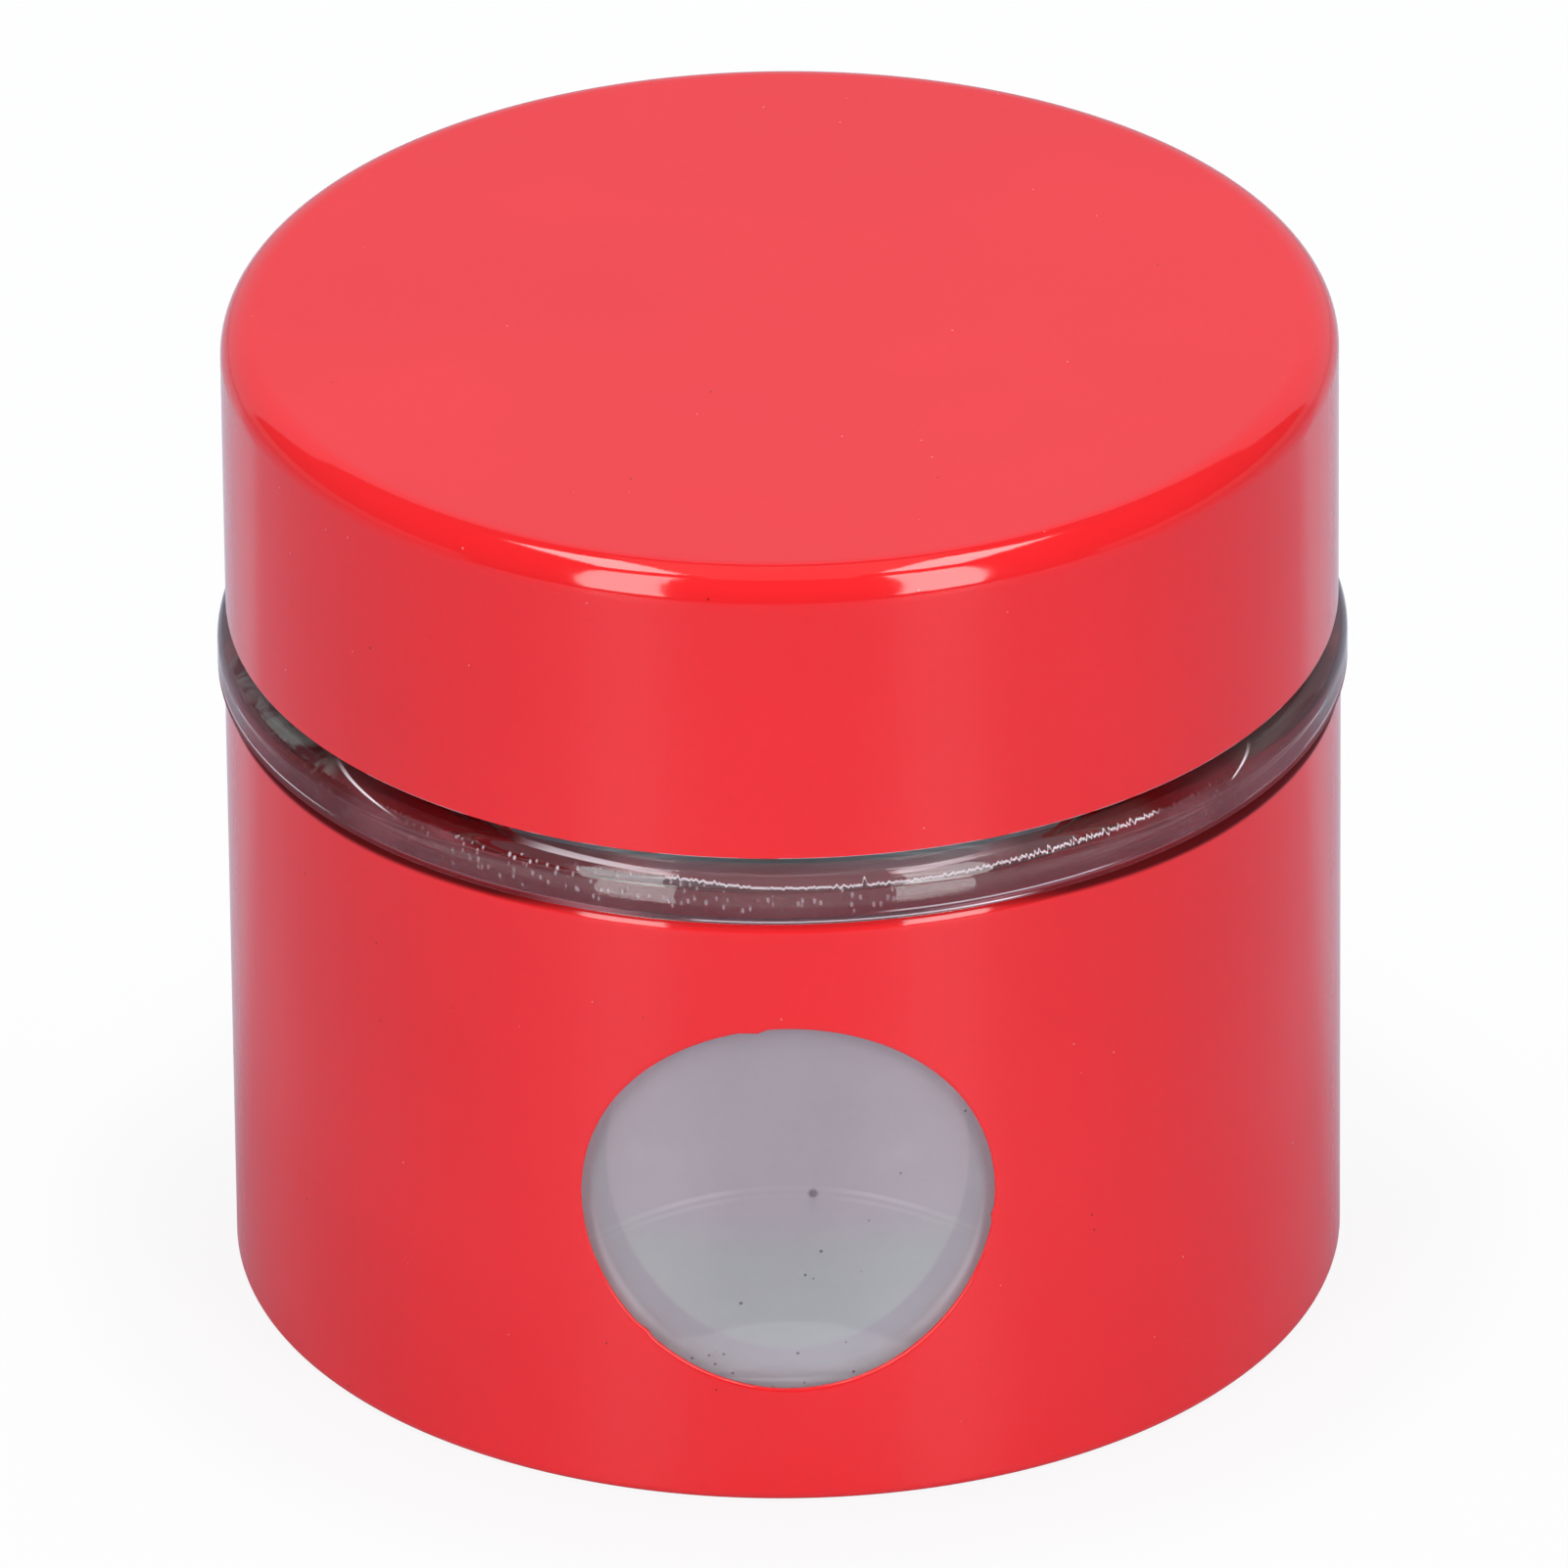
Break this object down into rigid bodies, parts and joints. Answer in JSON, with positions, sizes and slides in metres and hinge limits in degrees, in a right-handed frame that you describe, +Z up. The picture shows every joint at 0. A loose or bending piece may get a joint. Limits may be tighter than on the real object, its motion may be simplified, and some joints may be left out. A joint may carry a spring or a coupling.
{
  "type": "tea canister",
  "caption": "Round tea canister: a clear glass jar in a painted metal sleeve with a round sight window, closed by a deep painted metal screw lid.",
  "frame": {"origin": "centre of the foot's underside, on the surface that the canister stands on", "axes": "+Z up along the jar's axis, -Y out through the round window, +X to the right seen from the window's side"},
  "size_m": [0.1012, 0.1012, 0.0932],
  "materials": {
    "clear_glass": "clear pressed soda-lime glass, glossy, faintly green in its thick edges",
    "red_lacquer": "glossy bright red stoved lacquer on sheet steel",
    "clear_glue": "clear set glue",
    "dark_plastic": "satin moulded polypropylene, near black",
    "silicone": "matt milky silicone"
  },
  "bodies": {
    "jar": {"glass_jar": "clear_glass", "sleeve": "red_lacquer", "glue_ring": "clear_glue"},
    "seal": {"gasket": "silicone"},
    "lid": {"lid_shell": "red_lacquer", "thread_insert": "dark_plastic"}
  },
  "joints": [
    {"name": "lid_lift", "type": "slide", "parent": "jar", "child": "seal", "axis": [0, 0, 1], "range_m": [0, 0.036]},
    {"name": "lid_turn", "type": "hinge", "parent": "seal", "child": "lid", "pos_m": [0, 0, 0.0793], "axis": [0, 0, 1], "range_deg": [0, 720]}
  ],
  "couplings": [
    {"joint": "lid_lift", "follows": "lid_turn", "m_per_rad": 0.0028648}
  ]
}
